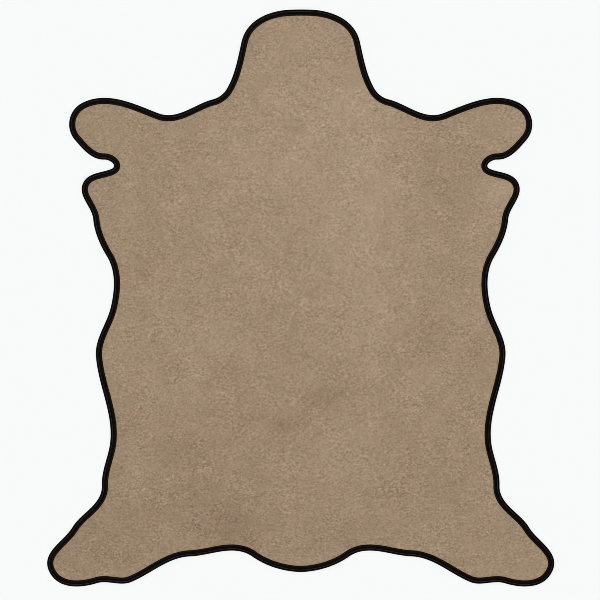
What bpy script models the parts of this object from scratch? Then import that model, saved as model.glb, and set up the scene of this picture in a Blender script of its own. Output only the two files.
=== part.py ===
"""Leather hide rug: one suede panel with its cut edge bound in black leather.

The panel is cut to the outline of an animal's hide, with the head, two forepaws
with a notch below each, wavy flanks, two hind paws and a short tail. It lies flat
on the floor. A leather strip is folded over the cut edge all the way round and
lifts the panel's rim a little off the floor.

Units are millimetres, turned to metres where the meshes are made. The origin is
on the floor under the middle of the hide, the head points to +Y and +Z is up.
"""

from collections import namedtuple

import bmesh
import bpy
import numpy as np

MM = 0.001

# Leather thicknesses and the clearance between two pieces
HIDE_THICKNESS = 2.0
STRIP_THICKNESS = 1.2
CLEARANCE = 0.3

# The folded strip: how far it reaches in from the outer edge, and its slot
BINDING_WIDTH = 22.0
SLOT_HEIGHT = HIDE_THICKNESS + 2 * CLEARANCE
BINDING_HEIGHT = SLOT_HEIGHT + 2 * STRIP_THICKNESS
FOLD_RADIUS = BINDING_HEIGHT / 2
SLOT_RADIUS = SLOT_HEIGHT / 2
FOLD_STEPS = 4

# The panel's rim: its cut edge, and the slope from the slot down to the floor
CUT_EDGE_INSET = FOLD_RADIUS + 0.5
RIM_LIFT = STRIP_THICKNESS + CLEARANCE
SLOPE_START = BINDING_WIDTH + 1.0
SLOPE_END = 46.0
SLOPE_STEPS = 3

# How finely the outline is stepped
MAX_TURN_DEG = 11.0
MAX_STEP = 45.0
SAMPLES_PER_SPAN = 200

# The right half of the outer edge, from the head round to the tail. The heading is
# the way the edge runs there: 0 is towards +X, and less than 0 turns clockwise.
Landmark = namedtuple("Landmark", "name x y heading_deg")
HALF_OUTLINE = [
    Landmark("crown", 0, 1065, 0),
    Landmark("brow", 43, 1064, -3),
    Landmark("cheek", 218, 947, -77),
    Landmark("jaw", 272, 773, -60),
    Landmark("neck", 325, 733, -14),
    Landmark("shoulder dip", 526, 682, 21),
    Landmark("forepaw top", 805, 721, -26),
    Landmark("forepaw tip", 833, 583, -131),
    Landmark("forepaw heel", 724, 511, -182),
    Landmark("notch", 702, 475, -21),
    Landmark("elbow lobe", 803, 425, -64),
    Landmark("armpit", 766, 291, -95),
    Landmark("chest", 715, 153, -121),
    Landmark("belly dip", 701, -34, -77),
    Landmark("belly bulge", 756, -214, -94),
    Landmark("loin dip", 709, -565, -76),
    Landmark("thigh", 734, -692, -92),
    Landmark("shank", 843, -847, -59),
    Landmark("hind paw tip", 929, -1009, -115),
    Landmark("hind paw sole", 753, -1053, -197),
    Landmark("hind paw heel", 627, -1049, -202),
    Landmark("rump arch", 408, -954, -182),
    Landmark("tail root", 178, -955, -145),
    Landmark("tail tip", 0, -1012, -178),
]

Ring = namedtuple("Ring", "inset z")


def clear_scene():
    """Remove whatever objects the file opened with."""
    for old in list(bpy.data.objects):
        bpy.data.objects.remove(old, do_unlink=True)


def unit(angle):
    return np.array([np.cos(angle), np.sin(angle)])


def handle_length(chord, bend):
    """Bezier handle for an end that points off its chord by the angle bend.

    Two ends with the same bend then give an arc of a circle.
    """
    return chord / (3 * np.cos(bend / 2) ** 2)


def span(start, end):
    """Points and unit tangents of the smooth edge between two landmarks."""
    a = np.array([start.x, start.y], dtype=float)
    b = np.array([end.x, end.y], dtype=float)
    chord = np.linalg.norm(b - a)
    direction = np.arctan2(b[1] - a[1], b[0] - a[0])
    heading_a = np.radians(start.heading_deg)
    heading_b = np.radians(end.heading_deg)
    handle_a = a + unit(heading_a) * handle_length(chord, heading_a - direction)
    handle_b = b - unit(heading_b) * handle_length(chord, heading_b - direction)
    t = np.linspace(0, 1, SAMPLES_PER_SPAN)[:, None]
    s = 1 - t
    points = s**3 * a + 3 * s**2 * t * handle_a + 3 * s * t**2 * handle_b + t**3 * b
    tangents = s**2 * (handle_a - a) + 2 * s * t * (handle_b - handle_a) + t**2 * (b - handle_b)
    return points, tangents / np.linalg.norm(tangents, axis=1)[:, None]


def half_edge():
    """The right half of the edge as fine points and unit tangents."""
    spans = [span(a, b) for a, b in zip(HALF_OUTLINE, HALF_OUTLINE[1:])]
    points = np.vstack([points[:-1] for points, _ in spans] + [spans[-1][0][-1:]])
    tangents = np.vstack([tangents[:-1] for _, tangents in spans] + [spans[-1][1][-1:]])
    points[[0, -1], 0] = 0
    tangents[[0, -1]] = [[1, 0], [-1, 0]]
    return points, tangents


def stations():
    """Points round the whole edge, clockwise from the crown, and their inward normals.

    They stand closer where the edge turns, by MAX_TURN_DEG and MAX_STEP.
    """
    points, tangents = half_edge()
    steps = np.linalg.norm(np.diff(points, axis=0), axis=1)
    headings = np.unwrap(np.arctan2(tangents[:, 1], tangents[:, 0]))
    turns = np.degrees(np.abs(np.diff(headings)))
    effort = np.cumsum(np.append(0, np.maximum(steps / MAX_STEP, turns / MAX_TURN_DEG)))
    count = int(np.ceil(effort[-1]))
    picks = np.linspace(0, effort[-1], count + 1)
    x, y = (np.interp(picks, effort, column) for column in points.T)
    heading = np.interp(picks, effort, headings)
    right = np.column_stack([x, y])
    inward = np.column_stack([np.sin(heading), -np.cos(heading)])
    inward[[0, -1], 0] = 0
    mirror = np.array([-1, 1])
    left = right[-2:0:-1] * mirror
    left_inward = inward[-2:0:-1] * mirror
    return np.vstack([right, left]), np.vstack([inward, left_inward])


def loft(bm, edge, inward, rings, closed):
    """Skin the rings, each the edge moved in by an inset and put at a height."""
    loops = []
    for ring in rings:
        places = (edge + inward * ring.inset) * MM
        loops.append([bm.verts.new((x, y, ring.z * MM)) for x, y in places])
    followers = loops[1:] + loops[:1] if closed else loops[1:]
    for outer, inner in zip(loops, followers):
        for i, corner in enumerate(outer):
            bm.faces.new((corner, inner[i], inner[i - 1], outer[i - 1]))
    return loops


def material(name, color, roughness):
    mat = bpy.data.materials.new(name)
    mat.use_nodes = True
    shader = mat.node_tree.nodes["Principled BSDF"]
    shader.inputs["Base Color"].default_value = (*color, 1.0)
    shader.inputs["Roughness"].default_value = roughness
    shader.inputs["Metallic"].default_value = 0.0
    return mat


def add_piece(name, bm, mat):
    """Turn a finished bmesh into a named object with its faces pointing out."""
    bmesh.ops.recalc_face_normals(bm, faces=bm.faces)
    mesh = bpy.data.meshes.new(name)
    bm.to_mesh(mesh)
    bm.free()
    mesh.materials.append(mat)
    piece = bpy.data.objects.new(name, mesh)
    bpy.context.collection.objects.link(piece)
    return piece


def rim_slope():
    """Rings down the soft slope between the binding and the flat middle."""
    rings = []
    for share in np.linspace(0, 1, SLOPE_STEPS + 1):
        inset = SLOPE_START + share * (SLOPE_END - SLOPE_START)
        lift = RIM_LIFT * (1 - share**2 * (3 - 2 * share))
        rings.append(Ring(inset, lift))
    return rings


def build_hide(edge, inward):
    """One flat sheet, its rim lifted to the height of the binding's slot."""
    under = rim_slope()[::-1] + [Ring(CUT_EDGE_INSET, RIM_LIFT)]
    over = [Ring(ring.inset, ring.z + HIDE_THICKNESS) for ring in reversed(under)]
    bm = bmesh.new()
    loops = loft(bm, edge, inward, under + over, closed=False)
    flats = [bm.faces.new(loops[0]), bm.faces.new(loops[-1])]
    bmesh.ops.triangulate(bm, faces=flats, ngon_method="BEAUTY")
    return add_piece("hide", bm, material("tan suede", (0.34, 0.25, 0.17), 0.9))


def fold(radius):
    """A half round from the top leg over the outer edge to the bottom leg."""
    angles = np.radians(np.linspace(90, 270, FOLD_STEPS + 1))
    return [Ring(FOLD_RADIUS + radius * np.cos(a), FOLD_RADIUS + radius * np.sin(a)) for a in angles]


def build_binding(edge, inward):
    """A strip folded over the cut edge: two legs and a half-round outer fold."""
    section = (
        [Ring(BINDING_WIDTH, BINDING_HEIGHT)]
        + fold(FOLD_RADIUS)
        + [Ring(BINDING_WIDTH, 0), Ring(BINDING_WIDTH, STRIP_THICKNESS)]
        + fold(SLOT_RADIUS)[::-1]
        + [Ring(BINDING_WIDTH, BINDING_HEIGHT - STRIP_THICKNESS)]
    )
    bm = bmesh.new()
    loft(bm, edge, inward, section, closed=True)
    return add_piece("binding", bm, material("black leather", (0.006, 0.005, 0.004), 0.5))


def main():
    clear_scene()
    edge, inward = stations()
    build_hide(edge, inward)
    build_binding(edge, inward)


main()
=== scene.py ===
# %% [markdown]
# # A suede hide rug with a bound edge
#
# This lesson dresses a plain construction model of a leather hide. The real thing is
# a whole hide, tanned and buffed to a short tan nap, lying flat on a floor. Its cut
# edge is folded into a strip of black leather and sewn all the way round.
#
# The construction model already fixes the size and the place of both pieces. Here
# each of them gets a finer mesh in the same place, and a finish worked out from how
# the real surface is made. Lengths are in millimetres and MM turns them to metres.

# %% Load the frame
from collections import namedtuple

import bpy
import numpy as np
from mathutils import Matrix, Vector, noise
from mathutils.geometry import delaunay_2d_cdt
from mathutils.kdtree import KDTree


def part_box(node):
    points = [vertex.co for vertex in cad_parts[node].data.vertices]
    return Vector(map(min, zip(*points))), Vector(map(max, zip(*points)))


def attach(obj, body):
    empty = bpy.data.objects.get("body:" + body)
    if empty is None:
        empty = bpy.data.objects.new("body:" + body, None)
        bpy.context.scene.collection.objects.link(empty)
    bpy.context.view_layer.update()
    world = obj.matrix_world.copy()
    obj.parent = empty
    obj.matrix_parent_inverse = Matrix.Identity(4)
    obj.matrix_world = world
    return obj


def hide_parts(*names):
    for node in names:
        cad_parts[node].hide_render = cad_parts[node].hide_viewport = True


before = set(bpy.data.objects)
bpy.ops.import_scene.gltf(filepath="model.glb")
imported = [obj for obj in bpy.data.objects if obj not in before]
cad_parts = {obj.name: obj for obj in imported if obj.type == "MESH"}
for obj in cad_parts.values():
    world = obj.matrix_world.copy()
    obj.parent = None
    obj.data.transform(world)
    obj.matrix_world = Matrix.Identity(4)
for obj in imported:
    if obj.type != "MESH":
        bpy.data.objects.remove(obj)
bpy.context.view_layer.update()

MM = 0.001

# %% [markdown]
# ## Small helpers
#
# Operators act on whatever is selected, and the loaded pieces start selected, so one helper clears the
# selection and picks a single piece. Colours are given as sRGB hex values, but shaders work in linear
# light, so one function converts them.
# One more adds a shader node with its settings and its links in a single call. A Mix
# node keeps a set of sockets for each kind of value, so the ones for colours are
# named here by their numbers.


# %% Helpers for selecting and for modifiers
def pick(piece):
    """Make this piece the only selected one, and the active one."""
    bpy.ops.object.select_all(action="DESELECT")
    piece.select_set(True)
    bpy.context.view_layer.objects.active = piece


def apply_modifier(piece, kind, **settings):
    """Add a modifier with these settings and apply it."""
    modifier = piece.modifiers.new(kind.lower(), kind)
    for name, value in settings.items():
        setattr(modifier, name, value)
    pick(piece)
    bpy.ops.object.modifier_apply(modifier=modifier.name)


# %% Helpers for colours and nodes
MIX_SHARE, MIX_A, MIX_B, MIXED = 0, 6, 7, 2


def linear(hex_code):
    """Turn an sRGB hex value such as "a08b74" into linear red, green, blue, alpha."""
    shares = [int(hex_code[i : i + 2], 16) / 255 for i in (0, 2, 4)]
    return (*[s / 12.92 if s <= 0.04045 else ((s + 0.055) / 1.055) ** 2.4 for s in shares], 1.0)


def add_node(tree, kind, settings=None, links=None):
    """Add a node. Settings are sockets or attributes, links come from other sockets."""
    node = tree.nodes.new(kind)
    for name, value in (settings or {}).items():
        if isinstance(name, int) or name in node.inputs:
            node.inputs[name].default_value = value
        else:
            setattr(node, name, value)
    for name, source in (links or {}).items():
        tree.links.new(source, node.inputs[name])
    return node


def empty_tree(material):
    """Switch a material's nodes on and return its node tree, empty."""
    material.use_nodes = True
    material.node_tree.nodes.clear()
    return material.node_tree


print("hex c0a080 in linear light:", [round(c, 3) for c in linear("c0a080")])

# %% [markdown]
# ## The camera, the floor and the light
#
# The rug was photographed straight from above with a long lens, so nothing on it
# looks nearer than the rest. The frame is 600 pixels square. One pixel covers
# 3.6935 mm of rug, and the rug's middle sits at pixel (300.7, 298.0), a little off
# the frame's own middle, so the camera stands a few millimetres to the side.

# %% Place the camera
FRAME_PIXELS = 600
MM_PER_PIXEL = 3.6935
RUG_MIDDLE_PIXEL = (300.70, 297.97)
LENS = 120.0
SENSOR = 36.0

frame_width = FRAME_PIXELS * MM_PER_PIXEL * MM
camera_height = frame_width * LENS / SENSOR
side = (FRAME_PIXELS / 2 - RUG_MIDDLE_PIXEL[0]) * MM_PER_PIXEL * MM
forward = (RUG_MIDDLE_PIXEL[1] - FRAME_PIXELS / 2) * MM_PER_PIXEL * MM

bpy.ops.object.camera_add(location=(side, forward, camera_height), rotation=(0, 0, 0))
camera = bpy.context.object
camera.name = "camera"
camera.data.lens = LENS
camera.data.sensor_width = SENSOR
camera.data.clip_end = 100
bpy.context.scene.camera = camera
print("camera", round(camera_height, 3), "m above the floor")

# %% [markdown]
# The floor is plain and pale, and the rug casts almost no shadow on it. A product
# photographer gets that with a sheet of white acrylic that is lit from below: light
# that comes through the sheet fills the shadow. Opal acrylic scatters evenly and is
# sanded matt on top, so it gives the eye one even pale tone without a reflection.
# A floor that only glows would look like a cut-out, so this one is part glow and part
# mid grey, and the grey part still takes a faint shadow where the edge touches it.

# %% Floor
FLOOR_SIZE = 40.0
FLOOR_GLOW = 0.74

bpy.ops.mesh.primitive_plane_add(size=FLOOR_SIZE, location=(0, 0, 0))
floor = bpy.context.object
floor.name = "floor"

table_sheet = bpy.data.materials.new("backlit_white_acrylic")
tree = empty_tree(table_sheet)
shader = add_node(
    tree,
    "ShaderNodeBsdfPrincipled",
    {
        "Base Color": linear("848685"),
        "Roughness": 1.0,
        "Specular IOR Level": 0.0,
        "Emission Color": linear("fafcfb"),
        "Emission Strength": FLOOR_GLOW,
    },
)
add_node(tree, "ShaderNodeOutputMaterial", links={"Surface": shader.outputs[0]})
floor.data.materials.append(table_sheet)
print("floor:", FLOOR_SIZE, "m square, glow", FLOOR_GLOW)

# %% [markdown]
# The light is a soft room: pale walls all round and a dark patch of ceiling. A camera
# straight above black leather sees the ceiling mirrored in it, and under a white one
# the strip would turn grey. The room is the world's background. A ramp over the
# height of the view direction, from 0 at the horizon to 1 straight up, sets how
# bright each band of it is. A broad, weak lamp from the upper left adds just enough
# direction to show the nap and the roll of the edge.
#
# The Standard view transform keeps a picked hex colour as it was picked. The pixel
# filter is a little under one pixel wide, because the photograph is as crisp as that.

# %% Room and lamp
PIXEL_FILTER = 0.8
ROOM_STRENGTH = 1.21
ROOM_BANDS = [
    (0.00, 0.75),
    (0.22, 0.75),
    (0.45, 1.00),
    (0.70, 1.00),
    (0.92, 0.05),
]
LAMP_STRENGTH = 1.0
LAMP_DIRECTION = (0.55, -0.55, -0.80)
LAMP_SOFTNESS_DEG = 40

world = bpy.data.worlds.new("soft_room")
world.use_nodes = True
tree = world.node_tree
tree.nodes.clear()
direction = add_node(tree, "ShaderNodeTexCoord")
height = add_node(tree, "ShaderNodeSeparateXYZ", links={0: direction.outputs["Generated"]})
bands = add_node(tree, "ShaderNodeValToRGB", links={0: height.outputs["Z"]})
bands.color_ramp.interpolation = "EASE"
for height_share, _ in ROOM_BANDS[1:-1]:
    bands.color_ramp.elements.new(height_share)
for stop, (height_share, grey) in zip(bands.color_ramp.elements, ROOM_BANDS):
    stop.position = height_share
    stop.color = (grey, grey, grey, 1.0)
background = add_node(
    tree,
    "ShaderNodeBackground",
    {"Strength": ROOM_STRENGTH},
    {"Color": bands.outputs["Color"]},
)
add_node(tree, "ShaderNodeOutputWorld", links={"Surface": background.outputs[0]})
bpy.context.scene.world = world

bpy.ops.object.light_add(type="SUN", location=(-2, 2, 3))
lamp = bpy.context.object
lamp.name = "soft_lamp"
lamp.rotation_euler = Vector(LAMP_DIRECTION).to_track_quat("-Z", "Y").to_euler()
lamp.data.energy = LAMP_STRENGTH
lamp.data.angle = np.radians(LAMP_SOFTNESS_DEG)

bpy.context.scene.view_settings.view_transform = "Standard"
bpy.context.scene.cycles.filter_width = PIXEL_FILTER
print("lamp", LAMP_STRENGTH, "and walls", ROOM_STRENGTH)

# %% [markdown]
# ## The outline
#
# A hide is cut freehand round its head, paws and tail, so no ruler shape fits it.
# It could be traced with hundreds of points, but a pattern maker marks only the
# places where the edge changes its mind, and how the edge runs there. The same can
# be done with a Bezier curve: one control point for each landmark, with handles
# along the edge. Both sides of this hide match, so only the right half is listed.
#
# The length of a handle is chosen so that two matching ends make an arc of a circle.

# %% Landmarks of the right half
Landmark = namedtuple("Landmark", "name x y heading_deg")
HALF_OUTLINE = [
    Landmark("crown", 0, 1065, 0),
    Landmark("brow", 43, 1064, -3),
    Landmark("cheek", 218, 947, -77),
    Landmark("jaw", 272, 773, -60),
    Landmark("neck", 325, 733, -14),
    Landmark("shoulder dip", 526, 682, 21),
    Landmark("forepaw top", 805, 721, -26),
    Landmark("forepaw tip", 833, 583, -131),
    Landmark("forepaw heel", 724, 511, -182),
    Landmark("notch", 702, 475, -21),
    Landmark("elbow lobe", 803, 425, -64),
    Landmark("armpit", 766, 291, -95),
    Landmark("chest", 715, 153, -121),
    Landmark("belly dip", 701, -34, -77),
    Landmark("belly bulge", 756, -214, -94),
    Landmark("loin dip", 709, -565, -76),
    Landmark("thigh", 734, -692, -92),
    Landmark("shank", 843, -847, -59),
    Landmark("hind paw tip", 929, -1009, -115),
    Landmark("hind paw sole", 753, -1053, -197),
    Landmark("hind paw heel", 627, -1049, -202),
    Landmark("rump arch", 408, -954, -182),
    Landmark("tail root", 178, -955, -145),
    Landmark("tail tip", 0, -1012, -178),
]
mirrored = [m._replace(x=-m.x, heading_deg=-m.heading_deg) for m in reversed(HALF_OUTLINE)]
spans = list(zip(HALF_OUTLINE, HALF_OUTLINE[1:])) + list(zip(mirrored, mirrored[1:]))
print(len(spans), "spans from landmark to landmark")


# %% Work out the handles
def unit(angle):
    """A step of length 1 in this direction."""
    return np.array([np.cos(angle), np.sin(angle)])


def handles(start, end):
    """The two handles of the span between two landmarks."""
    a, b = np.array([start.x, start.y]), np.array([end.x, end.y])
    chord = np.linalg.norm(b - a)
    direction = np.arctan2(b[1] - a[1], b[0] - a[0])
    heading_a, heading_b = np.radians([start.heading_deg, end.heading_deg])
    reach_a = chord / (3 * np.cos((heading_a - direction) / 2) ** 2)
    reach_b = chord / (3 * np.cos((heading_b - direction) / 2) ** 2)
    return a + unit(heading_a) * reach_a, b - unit(heading_b) * reach_b


longest = max(np.hypot(b.x - a.x, b.y - a.y) for a, b in spans)
print("longest span:", round(longest), "mm")

# %% Draw the outline as a Bezier curve
STEPS_PER_SPAN = 36

outline_data = bpy.data.curves.new("outline", "CURVE")
outline_data.dimensions = "3D"
outline_data.twist_mode = "Z_UP"
outline_data.resolution_u = STEPS_PER_SPAN
spline = outline_data.splines.new("BEZIER")
spline.bezier_points.add(len(spans) - 1)
spline.use_cyclic_u = True
for point in spline.bezier_points:
    point.handle_left_type = "FREE"
    point.handle_right_type = "FREE"
for i, (start, end) in enumerate(spans):
    near, far = handles(start, end)
    follower = spline.bezier_points[(i + 1) % len(spans)]
    spline.bezier_points[i].co = (start.x * MM, start.y * MM, 0)
    spline.bezier_points[i].handle_right = (*(near * MM), 0)
    follower.handle_left = (*(far * MM), 0)
outline = bpy.data.objects.new("outline", outline_data)
bpy.context.scene.collection.objects.link(outline)
print("outline drawn with", len(spline.bezier_points), "control points")

# %% [markdown]
# Everything that follows runs along this edge at some distance in from it: the cut
# edge of the hide, the binding and the stitches. So the curve is measured once, as
# closely spaced points with an inward direction each.

# %% Measure the edge
wire = outline.copy()
wire.data = outline.data.copy()
bpy.context.scene.collection.objects.link(wire)
pick(wire)
bpy.ops.object.convert(target="MESH")
edge = np.array([v.co.xy for v in wire.data.vertices]) / MM
bpy.data.objects.remove(wire)

ahead = np.roll(edge, -1, axis=0) - edge
behind = edge - np.roll(edge, 1, axis=0)
along = ahead / np.linalg.norm(ahead, axis=1)[:, None] + behind / np.linalg.norm(behind, axis=1)[:, None]
along /= np.linalg.norm(along, axis=1)[:, None]
inward = np.column_stack([along[:, 1], -along[:, 0]])


def inset(distance):
    """The edge moved in by this many millimetres."""
    return edge + inward * distance


perimeter = np.linalg.norm(ahead, axis=1).sum()

finder = KDTree(len(edge))
for i, (x, y) in enumerate(edge):
    finder.insert((x, y, 0), i)
finder.balance()


def depth(x, y):
    """How far a point lies in from the outer edge, in millimetres. Outside is less than 0."""
    _, i, distance = finder.find((x, y, 0))
    side_of_edge = (x - edge[i, 0]) * inward[i, 0] + (y - edge[i, 1]) * inward[i, 1]
    return float(np.copysign(distance, side_of_edge))


cad_reach = np.array(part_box("binding")[1].xy) / MM
print("reach:", edge.max(axis=0).round(1), "mm, and of the construction model:", cad_reach.round(1), "mm")

# %% [markdown]
# ## The binding
#
# The strip is folded over the cut edge like a bias tape. One could extrude and bevel
# a ring of faces, but a strip with the same section all the way round is exactly
# what a curve with a profile makes: the outline is the path, and a second small
# curve is the section. The section is drawn from the inner lip over the top, round
# the fold and back underneath. It is plump between the fold and the seam, pressed
# flat where the seam holds it, and has one fine crease line near the fold, which
# leather workers run along an edge with a warm blunt tool.
#
# The construction model's strip is 22 mm wide. Real leather springs back a little from
# a fold and spreads where it is pressed, so this one stands a third of a millimetre
# proud of the outline, and its lip reaches almost a millimetre further in.

# %% The strip's top face
BINDING_WIDTH = 22.8
BINDING_HEIGHT = 5.0
FOLD_RADIUS = BINDING_HEIGHT / 2
FOLD_PROUD = 0.36
SLOT_RADIUS = 1.3
SEAM_INSET = 19.0
CREASE_INSET = 7.4
SHARP_TURN_DEG = 50

Corner = namedtuple("Corner", "inset z")
TOP_FACE = [
    Corner(BINDING_WIDTH, 4.0),
    Corner(22.7, 4.45),
    Corner(22.4, 4.68),
    Corner(21.4, 4.77),
    Corner(20.3, 4.74),
    Corner(19.6, 4.58),
    Corner(SEAM_INSET, 4.46),
    Corner(18.4, 4.58),
    Corner(17.6, 4.78),
    Corner(16.0, 4.93),
    Corner(13.0, 5.0),
    Corner(10.4, 5.0),
    Corner(9.0, 4.95),
    Corner(8.2, 4.86),
    Corner(7.8, 4.68),
    Corner(CREASE_INSET, 4.56),
    Corner(7.0, 4.68),
    Corner(6.6, 4.86),
    Corner(5.0, 4.98),
    Corner(3.2, 4.97),
]
print("top face from", TOP_FACE[-1].inset, "to", TOP_FACE[0].inset, "mm in from the outline")

# %% The strip's fold, underside and slot
UNDERSIDE = [
    Corner(6.0, 0.0),
    Corner(12.0, 0.0),
    Corner(17.8, 0.0),
    Corner(18.4, 0.22),
    Corner(SEAM_INSET, 0.36),
    Corner(19.6, 0.22),
    Corner(20.2, 0.0),
    Corner(22.2, 0.02),
    Corner(22.7, 0.3),
    Corner(BINDING_WIDTH, 0.9),
    Corner(22.5, 1.38),
    Corner(19.0, 1.38),
    Corner(15.0, 1.2),
    Corner(8.0, 1.2),
]
SLOT_ROOF = [
    Corner(8.0, 3.8),
    Corner(15.0, 3.8),
    Corner(19.0, 3.62),
    Corner(22.5, 3.62),
]


def half_round(radius, steps, upwards):
    """Corners round the fold's centre, from the top to the bottom or back up."""
    angles = np.radians(np.linspace(80, -80, steps))
    centre = FOLD_RADIUS - FOLD_PROUD
    corners = [Corner(centre - radius * np.cos(a), FOLD_RADIUS + radius * np.sin(a)) for a in angles]
    return corners[::-1] if upwards else corners


outer_fold = half_round(FOLD_RADIUS, 9, upwards=False)
slot_end = half_round(SLOT_RADIUS, 4, upwards=True)
section = TOP_FACE + outer_fold + UNDERSIDE + slot_end + SLOT_ROOF
print(len(section), "corners in the strip's section")

# %% [markdown]
# A closed curve as the bevel object becomes the section of the sweep. Converting the
# curve to a mesh fixes the shape, and its faces are then turned to point outwards.

# %% Sweep the section along the outline
section_data = bpy.data.curves.new("strip_section", "CURVE")
section_data.dimensions = "2D"
section_line = section_data.splines.new("POLY")
section_line.points.add(len(section) - 1)
section_line.use_cyclic_u = True
for point, corner in zip(section_line.points, section):
    point.co = (corner.inset * MM, corner.z * MM, 0, 1)
strip_section = bpy.data.objects.new("strip_section", section_data)
bpy.context.scene.collection.objects.link(strip_section)

outline.data.bevel_mode = "OBJECT"
outline.data.bevel_object = strip_section
pick(outline)
bpy.ops.object.convert(target="MESH")
binding = outline
binding.name = "bound_edge"
binding.data.name = "bound_edge"
bpy.data.objects.remove(strip_section)
bpy.ops.object.mode_set(mode="EDIT")
bpy.ops.mesh.select_all(action="SELECT")
bpy.ops.mesh.normals_make_consistent(inside=False)
bpy.ops.object.mode_set(mode="OBJECT")
bpy.ops.object.shade_smooth_by_angle(angle=np.radians(SHARP_TURN_DEG))
print("binding:", len(binding.data.polygons), "faces")

# %% [markdown]
# A strip is straight before it is sewn on. Round the tight tips of the paws its inner
# lip has length to spare, so it gathers in small puckers. The sweep keeps its points
# in order, section after section, so each point's place along the edge and round the
# section is known. The same two lengths give the strip a map in real metres, so that
# its grain can follow it round the curves.

# %% Pucker the lip
PUCKER_PITCH = 20.0
PUCKER_DEPTH = 0.45
LOOSE_RADIUS = 220.0
TIGHT_RADIUS = 75.0

travel = np.append(0, np.cumsum(np.linalg.norm(ahead, axis=1)))[:-1]
next_along = np.roll(along, -1, axis=0)
turned = along[:, 1] * next_along[:, 0] - along[:, 0] * next_along[:, 1]
bend = turned / np.linalg.norm(ahead, axis=1)
tightness = np.interp(bend, [1 / LOOSE_RADIUS, 1 / TIGHT_RADIUS], [0, 1])

around = len(section)
points = np.zeros(len(edge) * around * 3)
binding.data.vertices.foreach_get("co", points)
points = points.reshape(len(edge), around, 3)
insets = np.array([corner.inset for corner in section])
on_top = np.array([corner.z > BINDING_HEIGHT / 2 for corner in section])
slackness = np.interp(insets, [8, 14, SEAM_INSET, BINDING_WIDTH], [0, 1, 0.2, 1]) * on_top
gather = tightness * (0.5 + 0.5 * np.cos(travel / PUCKER_PITCH * 2 * np.pi))
points[:, :, 2] -= gather[:, None] * slackness * PUCKER_DEPTH * MM
binding.data.vertices.foreach_set("co", points.ravel())
binding.data.update()
print("puckers on", int((tightness > 0).sum()), "of", len(edge), "sections")

# %% Unroll a map of the strip in metres
girth = np.cumsum([0] + [np.hypot(b.inset - a.inset, b.z - a.z) for a, b in zip(section, section[1:])])
full_girth = girth[-1] + section[0].z - section[-1].z
CREASE_GIRTH = girth[[corner.inset for corner in TOP_FACE].index(CREASE_INSET)]
corner_vertex = np.zeros(len(binding.data.loops), int)
binding.data.loops.foreach_get("vertex_index", corner_vertex)


def unrolled(lengths, full):
    """Four corners' places along the strip, so that the last face doesn't jump back."""
    lengths = lengths.reshape(-1, 4)
    return lengths + full * (lengths.max(axis=1, keepdims=True) - lengths > full / 2)


strip_map = np.dstack(
    [
        unrolled(travel[corner_vertex // around], perimeter),
        unrolled(girth[corner_vertex % around], full_girth),
    ]
)
binding.data.uv_layers.active.data.foreach_set("uv", (strip_map * MM).ravel())
print("map:", strip_map.reshape(-1, 2).max(axis=0).round(1), "mm long and round")

# %% [markdown]
# ## The hide
#
# The panel is one sheet. A grid cut to shape would leave a ragged edge, and a single
# big face could not lie unevenly. So rings of faces follow the edge where the sheet
# slips under the binding and slopes down to the floor, and the middle is filled with
# even triangles between evenly spread points.

# %% Lay out the sheet's points
CUT_EDGE_INSET = 3.0
RING_INSETS = [CUT_EDGE_INSET, 13, 21.5, 24, 27, 30.5, 34, 38, 42, 46, 51]
MIDDLE_PITCH = 12.0
GAP_SHARE = 0.6

clear_of_rings = RING_INSETS[-1] + GAP_SHARE * MIDDLE_PITCH
half_width, half_length = np.abs(edge).max(axis=0)
inner_points = []
for row, y in enumerate(np.arange(-half_length, half_length, MIDDLE_PITCH * np.sqrt(3) / 2)):
    for x in np.arange(-half_width, half_width, MIDDLE_PITCH) + row % 2 * MIDDLE_PITCH / 2:
        if depth(x, y) > clear_of_rings:
            inner_points.append((x, y))
print(len(inner_points), "points in the middle,", len(edge) * len(RING_INSETS), "in the rings")

# %% Join them into one sheet
count = len(edge)
ring_points = np.vstack([inset(distance) for distance in RING_INSETS])
ring_faces = []
for ring in range(len(RING_INSETS) - 1):
    for i in range(count):
        outer, inner = ring * count, (ring + 1) * count
        after = (i + 1) % count
        ring_faces.append((outer + i, outer + after, inner + after, inner + i))

inner_loop = ring_points[-count:]
loop_edges = [(i, (i + 1) % count) for i in range(count)]
to_fill = [Vector(p) for p in np.vstack([inner_loop, inner_points])]
filled, _, triangles, _, _, _ = delaunay_2d_cdt(to_fill, loop_edges, [], 1, 1e-6)
first = len(ring_points) - count
sheet_points = np.vstack([ring_points[:first], [tuple(p) for p in filled]])
sheet_faces = ring_faces + [tuple(first + i for i in triangle) for triangle in triangles]
print(len(sheet_points), "points and", len(sheet_faces), "faces")

# %% [markdown]
# The sheet is modelled as its underside, so it can be set on the floor: 1.5 mm up
# inside the binding, down a short slope, and flat from there on. Leather that has
# been rolled up never lies dead flat again, so the middle keeps soft swells of about
# a millimetre. Solidify then grows the 2 mm of leather upwards.

# %% How high the sheet lies
RIM_LIFT = 1.5
SLOPE_START, SLOPE_END = 23.0, 46.0
SWELL_START, SWELL_END = 50.0, 160.0
SWELLS = [(430.0, 0.9), (170.0, 0.5)]


def smooth_share(value, start, end):
    """0 up to the start, 1 from the end on, and a soft S between them."""
    share = np.clip((value - start) / (end - start), 0, 1)
    return share * share * (3 - 2 * share)


def resting_height(x, y):
    """How high the sheet's underside lies above the floor."""
    distance = depth(x, y)
    lift = RIM_LIFT * (1 - smooth_share(distance, SLOPE_START, SLOPE_END))
    swell = sum(rise * (0.5 + noise.noise(Vector((x, y, 0)) / width)) for width, rise in SWELLS)
    return lift + max(0.0, swell) * smooth_share(distance, SWELL_START, SWELL_END)


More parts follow.
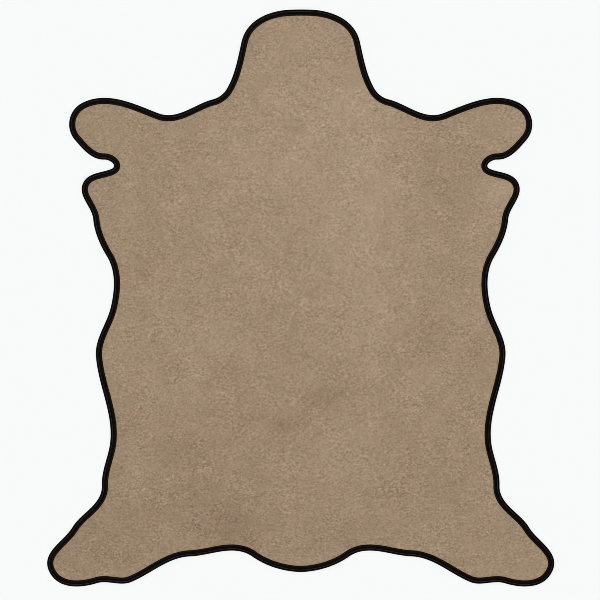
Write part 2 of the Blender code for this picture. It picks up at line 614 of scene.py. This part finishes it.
laid = [(x * MM, y * MM, resting_height(x, y) * MM) for x, y in sheet_points]
print("underside from 0 to", round(max(z for _, _, z in laid) / MM, 2), "mm above the floor")

# %% Make the sheet and give it its thickness
HIDE_THICKNESS = 2.0
CUT_CORNER_DEG = 40

sheet_mesh = bpy.data.meshes.new("suede_panel")
sheet_mesh.from_pydata(laid, [], sheet_faces)
suede = bpy.data.materials.new("tan_suede_nap")
grain_side = bpy.data.materials.new("brown_grain_back")
sheet_mesh.materials.append(suede)
sheet_mesh.materials.append(grain_side)
panel = bpy.data.objects.new("suede_panel", sheet_mesh)
bpy.context.scene.collection.objects.link(panel)
pick(panel)
bpy.ops.object.mode_set(mode="EDIT")
bpy.ops.mesh.select_all(action="SELECT")
bpy.ops.mesh.normals_make_consistent(inside=False)
bpy.ops.object.mode_set(mode="OBJECT")
if panel.data.polygons[-1].normal.z < 0:
    panel.data.flip_normals()
apply_modifier(
    panel,
    "SOLIDIFY",
    thickness=HIDE_THICKNESS * MM,
    offset=1,
    use_even_offset=True,
    material_offset=1,
    material_offset_rim=1,
)
bpy.ops.object.shade_smooth_by_angle(angle=np.radians(CUT_CORNER_DEG))
print("panel:", len(panel.data.polygons), "faces,", (panel.dimensions / MM).to_tuple(1), "mm")

# %% [markdown]
# ## The seam
#
# A walking-foot machine sews the strip down with a lockstitch: waxed thread shows as
# a row of short dashes on top and another underneath, each dipping into its hole at
# both ends. One pair of stitches is modelled from a small sphere, then repeated with
# an Array modifier and led round the seam with a Curve modifier. There are some 1,600
# pairs, so each stitch keeps only 24 faces.

# %% Model one pair of stitches
STITCH_PITCH = 5.0
STITCH_LENGTH = 4.2
STITCH_WIDTH = 0.9
TOP_STITCH = {"thickness": 0.66, "z": 4.48}
UNDER_STITCH = {"thickness": 0.60, "z": 0.31}

seam = inset(SEAM_INSET)[::-1]
seam_length = np.linalg.norm(np.roll(seam, -1, axis=0) - seam, axis=1).sum()
stitch_count = round(seam_length / STITCH_PITCH)
stitch_step = seam_length / stitch_count

bpy.ops.object.select_all(action="DESELECT")
one_stitch = []
for side_of_strip in (TOP_STITCH, UNDER_STITCH):
    bpy.ops.mesh.primitive_uv_sphere_add(segments=6, ring_count=4, radius=0.5, rotation=(0, np.pi / 2, 0))
    stitch = bpy.context.object
    bpy.ops.object.transform_apply(location=False, rotation=True, scale=True)
    stitch.scale = np.array([STITCH_LENGTH, STITCH_WIDTH, side_of_strip["thickness"]]) * MM
    stitch.location = (stitch_step / 2 * MM, 0, side_of_strip["z"] * MM)
    bpy.ops.object.transform_apply(location=True, rotation=True, scale=True)
    bpy.ops.object.shade_smooth()
    one_stitch.append(stitch)
one_stitch[0].select_set(True)
bpy.ops.object.join()
stitches = bpy.context.object
stitches.name = "lockstitches"
stitches.data.name = "lockstitches"
print(stitch_count, "pairs of stitches,", round(stitch_step, 3), "mm apart")

# %% Repeat the pair round the seam
seam_data = bpy.data.curves.new("seam_path", "CURVE")
seam_data.dimensions = "2D"
seam_line = seam_data.splines.new("POLY")
seam_line.points.add(len(seam) - 1)
seam_line.use_cyclic_u = True
for point, (x, y) in zip(seam_line.points, seam):
    point.co = (x * MM, y * MM, 0, 1)
seam_path = bpy.data.objects.new("seam_path", seam_data)
bpy.context.scene.collection.objects.link(seam_path)

apply_modifier(
    stitches,
    "ARRAY",
    count=stitch_count,
    use_relative_offset=False,
    use_constant_offset=True,
    constant_offset_displace=(stitch_step * MM, 0, 0),
)
apply_modifier(stitches, "CURVE", object=seam_path, deform_axis="POS_X")
bpy.data.objects.remove(seam_path)
print("stitches:", len(stitches.data.polygons), "faces,", (stitches.dimensions / MM).to_tuple(1), "mm")

# %% [markdown]
# ## The suede
#
# Suede is the split or flesh side of a hide, dyed through and buffed with fine grit
# until short fibres stand up as a nap. It has no film on it to shine, so it looks
# matt from above and glows a little where it is seen at a slant, because light
# catches the fibre tips: that is what a sheen lobe does. Hands, feet and rolling
# stroke the nap this way and that, so it shows broad pale and dark clouds.
#
# Noise alone would put these clouds anywhere. On this hide the neck and shoulders are palest and the rump
# is darkest, so they are laid on first, as soft dabs painted into an attribute. Each has a middle, two
# radii and a turn, and a tone in steps of brightness out of 255. Noise then breaks them up.

# %% The broad clouds, dab by dab
Dab = namedtuple("Dab", "name x y across along turn_deg tone")
DABS = [
    Dab("back", 225, 360, 190, 500, 0, 8.6),
    Dab("left shoulder blade", -169, 491, 203, 222, 0, 4.5),
    Dab("neck", 0, 694, 222, 185, 0, 2.5),
    Dab("nape", 160, 735, 90, 75, 0, 5.0),
    Dab("left of the nape", -76, 731, 60, 45, 0, 3.0),
    Dab("forehead", 0, 930, 200, 120, 0, 3.0),
    Dab("under the cheek", 167, 916, 44, 66, 0, -4.0),
    Dab("left of the spine", -58, 473, 81, 81, 0, 2.5),
    Dab("left shoulder", -560, 410, 110, 130, 0, -2.0),
    Dab("left back ribs", -160, 95, 110, 60, -30, 2.5),
    Dab("small of the back", -76, 20, 70, 80, 0, 2.0),
    Dab("right shoulder", 510, 440, 130, 140, 0, -3.0),
    Dab("above the right shoulder", 600, 650, 100, 60, 0, 2.5),
    Dab("right armpit", 665, 300, 75, 110, 0, 3.0),
    Dab("right forepaw rim", 791, 591, 66, 59, 0, 5.0),
    Dab("right elbow", 747, 391, 60, 60, 0, 8.0),
    Dab("end of the spine", 290, -118, 66, 92, 0, 2.0),
    Dab("right ribs", 478, -118, 60, 95, -20, -7.0),
    Dab("right hollow", 551, -50, 60, 52, 0, 5.0),
    Dab("right flank", 645, -225, 100, 90, 0, -3.5),
    Dab("right waist", 367, -229, 60, 60, 0, -3.0),
    Dab("right belly", 478, -285, 70, 50, 0, 3.0),
    Dab("left ribs", -575, 120, 52, 52, 0, -2.5),
    Dab("left belly", -317, -150, 120, 90, 0, 4.0),
    Dab("middle", 0, -118, 166, 111, 0, -2.0),
    Dab("worn spot", -253, -278, 56, 44, 0, -6.0),
    Dab("lower worn mark", -47, -469, 66, 46, 30, -11.0),
    Dab("upper worn mark", 82, -369, 56, 46, 20, -12.0),
    Dab("left of the marks", -215, -425, 76, 48, 0, -5.5),
    Dab("left hip", -660, -460, 60, 90, 0, -7.0),
    Dab("left thigh", -450, -545, 190, 92, 0, -5.5),
    Dab("pale streak", -605, -654, 40, 110, 0, 5.5),
    Dab("left rump", -464, -783, 406, 180, 0, -7.5),
    Dab("left hind paw", -778, -967, 185, 111, 0, -7.0),
    Dab("left of the tail", -250, -849, 120, 110, 0, -7.0),
    Dab("tail", 150, -880, 130, 81, 0, -6.5),
    Dab("right of the marks", 150, -320, 75, 180, 0, -2.2),
    Dab("loin", 150, -590, 110, 120, 0, 4.0),
    Dab("right rump", 478, -672, 295, 222, 0, -4.0),
    Dab("right shin", 773, -857, 52, 66, 0, -2.0),
    Dab("right heel", 610, -950, 90, 60, 0, -3.0),
]
print(len(DABS), "dabs")


# %% Paint them into an attribute
def nap_tone(x, y):
    """How much paler or darker the nap lies here, in steps out of 255."""
    tone = 0.0
    for dab in DABS:
        lean = np.radians(dab.turn_deg)
        dx, dy = x - dab.x, y - dab.y
        u = (dx * np.cos(lean) + dy * np.sin(lean)) / dab.across
        v = (dy * np.cos(lean) - dx * np.sin(lean)) / dab.along
        tone = tone + dab.tone * np.exp(-(u * u + v * v))
    return tone


places = np.zeros(len(panel.data.vertices) * 3)
panel.data.vertices.foreach_get("co", places)
places = places.reshape(-1, 3) / MM
tones = nap_tone(places[:, 0], places[:, 1])
tone_attribute = panel.data.attributes.new("nap_tone", "FLOAT", "POINT")
tone_attribute.data.foreach_set("value", tones)
print("tones from", tones.min().round(1), "to", tones.max().round(1), "steps")

# %% [markdown]
# The noise could be mixed in as colour, but then every layer would shift the hue too.
# Here each layer only adds or takes away steps of brightness, like the dabs, and the
# sum is turned into a colour at the end. With normalize off, a noise swings evenly
# about zero, so no layer changes the average.
#
# A pattern on Object coordinates counts in metres, so a small function turns the size
# of its features in millimetres into a Scale.


# %% Broad layers of the nap
def per(size_mm):
    """The Scale of a pattern whose features are this size."""
    return 1 / (size_mm * MM)


NapLayer = namedtuple("NapLayer", "name size steps")
BROAD_LAYERS = [
    NapLayer("clouds", 210.0, 1.9),
    NapLayer("patches", 75.0, 4.6),
    NapLayer("mottle", 13.0, 2.3),
]

tree = empty_tree(suede)
where = add_node(tree, "ShaderNodeTexCoord").outputs["Object"]
painted = add_node(tree, "ShaderNodeAttribute", {"attribute_name": "nap_tone"})
tone = painted.outputs["Fac"]
for layer in BROAD_LAYERS:
    pattern = add_node(
        tree,
        "ShaderNodeTexNoise",
        {"label": layer.name, "normalize": False, "Scale": per(layer.size)},
        {"Vector": where},
    )
    added = add_node(
        tree,
        "ShaderNodeMath",
        {"operation": "MULTIPLY_ADD", 1: layer.steps},
        {0: pattern.outputs["Fac"], 2: tone},
    )
    tone = added.outputs[0]
print("suede:", len(BROAD_LAYERS), "broad layers over", len(DABS), "dabs")

# %% [markdown]
# The nap itself comes next. Its grain is 0.2 to 0.5 mm on the real hide, far below one
# pixel of this view, so it is drawn as tufts about 8 mm across with finer octaves
# inside them. They lie a little sideways, because the nap was brushed across the hide.
# The nap is raised in some places and matted in others, so a broader noise makes the
# tufts weaker or stronger. Its high Roughness gives it many small patches inside the
# large ones, so that neither size stands out.

# %% Tufts
TUFT_SIZE = 7.8
TUFT_STEPS = 20.0
MATTED_SIZE = 110.0
MATTED_SHARE, RAISED_SHARE = 0.3, 1.7

brushed = add_node(tree, "ShaderNodeMapping", {"Scale": (0.9, 1.1, 1.0)}, {"Vector": where})
tufts = add_node(
    tree,
    "ShaderNodeTexNoise",
    {"label": "tufts", "normalize": False, "Scale": per(TUFT_SIZE), "Detail": 3.0, "Roughness": 0.5},
    {"Vector": brushed.outputs[0]},
)
matted = add_node(
    tree,
    "ShaderNodeTexNoise",
    {
        "label": "matted or raised",
        "Scale": per(MATTED_SIZE),
        "Detail": 5.0,
        "Roughness": 0.85,
    },
    {"Vector": where},
)
tuft_steps = add_node(
    tree,
    "ShaderNodeMapRange",
    {
        "From Min": 0.35,
        "From Max": 0.65,
        "To Min": MATTED_SHARE * TUFT_STEPS,
        "To Max": RAISED_SHARE * TUFT_STEPS,
    },
    {"Value": matted.outputs["Fac"]},
)
tufted = add_node(
    tree,
    "ShaderNodeMath",
    {"operation": "MULTIPLY_ADD"},
    {0: tufts.outputs["Fac"], 1: tuft_steps.outputs[0], 2: tone},
)
print("tufts:", TUFT_SIZE, "mm across and", TUFT_STEPS, "steps strong")

# %% [markdown]
# Single fibres only show from close by. They are a thin noise, stretched along the way
# the nap was stroked and bent by some distortion, so that they swirl.

# %% Fibres
FIBRE_SIZE = 1.6
FIBRE_STEPS = 15.0

stroked = add_node(
    tree,
    "ShaderNodeMapping",
    {"Rotation": (0, 0, 0.5), "Scale": (0.5, 1.5, 1.0)},
    {"Vector": where},
)
fibres = add_node(
    tree,
    "ShaderNodeTexNoise",
    {
        "label": "fibres",
        "normalize": False,
        "Scale": per(FIBRE_SIZE),
        "Detail": 3.0,
        "Roughness": 0.6,
        "Distortion": 1.5,
    },
    {"Vector": stroked.outputs[0]},
)
napped = add_node(
    tree,
    "ShaderNodeMath",
    {"operation": "MULTIPLY_ADD", 1: FIBRE_STEPS},
    {0: fibres.outputs["Fac"], 2: tufted.outputs[0]},
)
print("fibres:", FIBRE_SIZE, "mm and", FIBRE_STEPS, "steps strong")

# %% [markdown]
# The sum picks a colour between three tones of one brown: the dark foot of the fibres,
# seen where the nap is parted, their middle, and their pale tips. Two stops would be
# enough for a straight blend, but a blend in linear light makes dark specks stronger
# than pale ones, and the middle stop evens that out.
#
# Dye takes a little unevenly too. The noise's own colour output holds three separate
# noises, and each of them weakens or strengthens one channel by a per cent or two, so
# the brown drifts very slightly between an olive and a pink cast.

# %% Colours of the suede
NAP_TONES = ["6e5841", "9b866f", "c3ad96"]
NAP_SPREAD = 84.0
DYE_SIZE = 75.0
DYE_DRIFT = (0.02, 0.035, 0.055)

share = add_node(
    tree,
    "ShaderNodeMapRange",
    {"From Min": -NAP_SPREAD / 2, "From Max": NAP_SPREAD / 2},
    {"Value": napped.outputs[0]},
)
fibre_colour = add_node(tree, "ShaderNodeValToRGB", links={0: share.outputs[0]})
fibre_colour.color_ramp.elements.new(0.5)
for stop, hex_code in zip(fibre_colour.color_ramp.elements, NAP_TONES):
    stop.color = linear(hex_code)
dye = add_node(
    tree,
    "ShaderNodeTexNoise",
    {"label": "dye", "Scale": per(DYE_SIZE), "Detail": 4.0, "Roughness": 0.65},
    {"Vector": where},
)
drift = add_node(
    tree,
    "ShaderNodeVectorMath",
    {"operation": "MULTIPLY_ADD", 1: DYE_DRIFT, 2: [1 - channel / 2 for channel in DYE_DRIFT]},
    {0: dye.outputs["Color"]},
)
dyed = add_node(
    tree,
    "ShaderNodeMix",
    {"data_type": "RGBA", "blend_type": "MULTIPLY", MIX_SHARE: 1.0},
    {MIX_A: fibre_colour.outputs["Color"], MIX_B: drift.outputs[0]},
)
print("suede from", NAP_TONES[0], "to", NAP_TONES[-1])

# %% [markdown]
# Tufts and fibres stand up as well, so both are used again as bump. The base roughness
# is close to 1, the specular level is low because light is lost between the fibres,
# and the sheen has the warm tint of the undyed tips.

# %% Relief and gloss of the suede
tuft_relief = add_node(
    tree,
    "ShaderNodeBump",
    {"Strength": 0.5, "Distance": 0.2 * MM},
    {"Height": tufts.outputs["Fac"]},
)
fibre_relief = add_node(
    tree,
    "ShaderNodeBump",
    {"Strength": 0.6, "Distance": 0.1 * MM},
    {"Height": fibres.outputs["Fac"], "Normal": tuft_relief.outputs[0]},
)
shader = add_node(
    tree,
    "ShaderNodeBsdfPrincipled",
    {
        "Roughness": 0.95,
        "IOR": 1.5,
        "Specular IOR Level": 0.15,
        "Sheen Weight": 0.3,
        "Sheen Roughness": 0.45,
        "Sheen Tint": linear("e8d8c4"),
    },
    {"Base Color": dyed.outputs[MIXED], "Normal": fibre_relief.outputs[0]},
)
add_node(tree, "ShaderNodeOutputMaterial", links={"Surface": shader.outputs[0]})
print("tan suede:", len(tree.nodes), "nodes")

# %% [markdown]
# The other side of the panel is the hide's own grain side. It was left smooth, so it
# has a darker, closed surface with fine pebbles and a faint gloss. It only shows when
# the rug is turned over, so a few nodes are enough: a soft noise for the tanning, and
# the borders of Voronoi cells as the creases between the pebbles.

# %% Brown grain back
BACK_BROWNS = ["6f543b", "8c6f53"]
TANNING_SIZE = 70.0
BACK_PEBBLE_SIZE = 1.8

tree = empty_tree(grain_side)
where = add_node(tree, "ShaderNodeTexCoord").outputs["Object"]
tanning = add_node(
    tree,
    "ShaderNodeTexNoise",
    {"label": "tanning", "Scale": per(TANNING_SIZE), "Detail": 4.0},
    {"Vector": where},
)
tanned = add_node(
    tree,
    "ShaderNodeMix",
    {"data_type": "RGBA", MIX_A: linear(BACK_BROWNS[0]), MIX_B: linear(BACK_BROWNS[1])},
    {MIX_SHARE: tanning.outputs["Fac"]},
)
back_pebbles = add_node(
    tree,
    "ShaderNodeTexVoronoi",
    {"feature": "DISTANCE_TO_EDGE", "Scale": per(BACK_PEBBLE_SIZE)},
    {"Vector": where},
)
back_relief = add_node(
    tree,
    "ShaderNodeBump",
    {"Strength": 0.8, "Distance": 0.2 * MM},
    {"Height": back_pebbles.outputs["Distance"]},
)
shader = add_node(
    tree,
    "ShaderNodeBsdfPrincipled",
    {"Roughness": 0.55, "IOR": 1.5},
    {"Base Color": tanned.outputs[MIXED], "Normal": back_relief.outputs[0]},
)
add_node(tree, "ShaderNodeOutputMaterial", links={"Surface": shader.outputs[0]})
print("brown grain back:", len(tree.nodes), "nodes")

# %% [markdown]
# ## The black strip
#
# The binding is full-grain calf leather, dyed black and finished with a thin satin
# wax. It keeps a fine pebble of creases and pores about a millimetre across, and
# mirrors the room softly, most of all along its folded edge. The pattern has to bend
# with the strip, so it reads the strip's own map and not the rug's coordinates.
#
# Black is never quite black: this one is a very dark brown, and how dark it looks is
# mostly a matter of how much of the room it mirrors. Waxed leather with open pores
# mirrors less than smooth lacquer, so the specular level is low.

# %% Black of the strip
BLACKS = ["050302", "080504"]
HANDLED_SIZE = 30.0
POLISHED, DULL = 0.36, 0.46

strip_leather = bpy.data.materials.new("black_grain_leather")
tree = empty_tree(strip_leather)
strip_uv = add_node(tree, "ShaderNodeUVMap", {"uv_map": binding.data.uv_layers.active.name})
handled = add_node(
    tree,
    "ShaderNodeTexNoise",
    {"label": "handled", "noise_dimensions": "2D", "Scale": per(HANDLED_SIZE), "Detail": 3.0},
    {"Vector": strip_uv.outputs[0]},
)
black = add_node(
    tree,
    "ShaderNodeMix",
    {"data_type": "RGBA", MIX_A: linear(BLACKS[0]), MIX_B: linear(BLACKS[1])},
    {MIX_SHARE: handled.outputs["Fac"]},
)
gloss = add_node(
    tree,
    "ShaderNodeMapRange",
    {"From Min": 0.3, "From Max": 0.7, "To Min": POLISHED, "To Max": DULL},
    {"Value": handled.outputs["Fac"]},
)
print("strip: black from", BLACKS[0], "to", BLACKS[1], "and roughness from", POLISHED, "to", DULL)

# %% [markdown]
# Two things lighten the black. Along the crease line, a fine grey line is a painted highlight: the colour
# itself is lightened there, to stand for light caught by the edges of the crease. Along the inner lip,
# feet have rubbed tan dust from the nap into the leather. The map's second axis runs round the
# section from the lip outwards, so both are simple ranges of it.

# %% Painted highlight along the crease
# This grey is a painted highlight, not a colour of the leather: it lightens the black in a fine line
# along the crease.
CREASE_HIGHLIGHT_GREY = "303030"
CREASE_CORE, CREASE_FADE = 0.3, 0.9

around_strip = add_node(tree, "ShaderNodeSeparateXYZ", links={0: strip_uv.outputs[0]})
off_crease = add_node(
    tree,
    "ShaderNodeMath",
    {"operation": "SUBTRACT", 1: CREASE_GIRTH * MM},
    {0: around_strip.outputs["Y"]},
)
from_crease = add_node(tree, "ShaderNodeMath", {"operation": "ABSOLUTE"}, {0: off_crease.outputs[0]})
painted_crease_highlight = add_node(
    tree,
    "ShaderNodeMapRange",
    {
        "interpolation_type": "SMOOTHSTEP",
        "From Min": CREASE_CORE * MM,
        "From Max": CREASE_FADE * MM,
        "To Min": 1.0,
        "To Max": 0.0,
    },
    {"Value": from_crease.outputs[0]},
)
# Mix the painted highlight into the black of the strip.
black_with_painted_highlight = add_node(
    tree,
    "ShaderNodeMix",
    {"data_type": "RGBA", MIX_B: linear(CREASE_HIGHLIGHT_GREY)},
    {MIX_SHARE: painted_crease_highlight.outputs[0], MIX_A: black.outputs[MIXED]},
)
print("crease", round(CREASE_GIRTH, 2), "mm from the lip and", 2 * CREASE_FADE, "mm wide")

# %% Dusty lip
DUST_BROWN = "1f1005"
DUST_START, DUST_END = 2.0, 11.0
DUST_SHARE = 0.42

dusty = add_node(
    tree,
    "ShaderNodeMapRange",
    {
        "interpolation_type": "SMOOTHSTEP",
        "From Min": DUST_START * MM,
        "From Max": DUST_END * MM,
        "To Min": DUST_SHARE,
        "To Max": 0.0,
    },
    {"Value": around_strip.outputs["Y"]},
)
dusted_black = add_node(
    tree,
    "ShaderNodeMix",
    {"data_type": "RGBA", MIX_B: linear(DUST_BROWN)},
    {MIX_SHARE: dusty.outputs[0], MIX_A: black_with_painted_highlight.outputs[MIXED]},
)
print("dust fades out", DUST_END, "mm from the lip")

# %% [markdown]
# The pebbles are Voronoi cells again, and the pores between them a finer noise. Both
# are far below a pixel of the view from above and show from close by.

# %% Pebbles, pores and gloss of the strip
PEBBLE_SIZE = 1.3
PORE_SIZE = 0.8

pebbles = add_node(
    tree,
    "ShaderNodeTexVoronoi",
    {
        "feature": "DISTANCE_TO_EDGE",
        "voronoi_dimensions": "2D",
        "Scale": per(PEBBLE_SIZE),
        "Randomness": 0.9,
    },
    {"Vector": strip_uv.outputs[0]},
)
pores = add_node(
    tree,
    "ShaderNodeTexNoise",
    {"noise_dimensions": "2D", "Scale": per(PORE_SIZE), "Detail": 3.0},
    {"Vector": strip_uv.outputs[0]},
)
pebbled = add_node(
    tree,
    "ShaderNodeBump",
    {"Strength": 0.8, "Distance": 0.15 * MM},
    {"Height": pebbles.outputs["Distance"]},
)
pitted = add_node(
    tree,
    "ShaderNodeBump",
    {"Strength": 0.5, "Distance": 0.1 * MM},
    {"Height": pores.outputs["Fac"], "Normal": pebbled.outputs[0]},
)
shader = add_node(
    tree,
    "ShaderNodeBsdfPrincipled",
    {"IOR": 1.5, "Specular IOR Level": 0.06},
    {
        "Base Color": dusted_black.outputs[MIXED],
        "Roughness": gloss.outputs[0],
        "Normal": pitted.outputs[0],
    },
)
add_node(tree, "ShaderNodeOutputMaterial", links={"Surface": shader.outputs[0]})
binding.data.materials.append(strip_leather)
print("black grain leather:", len(tree.nodes), "nodes")

# %% [markdown]
# The thread is bonded polyester, drawn through black wax before it is sewn. The wax
# glues its plies together, so at this size no twist shows: it is a smooth, slightly
# shiny bead that is a shade lighter than the strip, and a plain shader is enough.

# %% Black waxed thread
thread = bpy.data.materials.new("black_waxed_thread")
tree = empty_tree(thread)
shader = add_node(
    tree,
    "ShaderNodeBsdfPrincipled",
    {"Base Color": linear("0d0b09"), "Roughness": 0.45, "IOR": 1.5, "Specular IOR Level": 0.2},
)
add_node(tree, "ShaderNodeOutputMaterial", links={"Surface": shader.outputs[0]})
stitches.data.materials.append(thread)
print("black waxed thread on", stitches.name)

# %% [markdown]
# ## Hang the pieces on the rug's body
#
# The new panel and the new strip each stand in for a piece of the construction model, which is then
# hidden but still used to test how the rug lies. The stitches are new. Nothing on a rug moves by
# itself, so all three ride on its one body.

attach(panel, "root")
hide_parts("hide")
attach(binding, "root")
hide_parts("binding")
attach(stitches, "root")
print("pieces:", panel.name, binding.name, stitches.name)
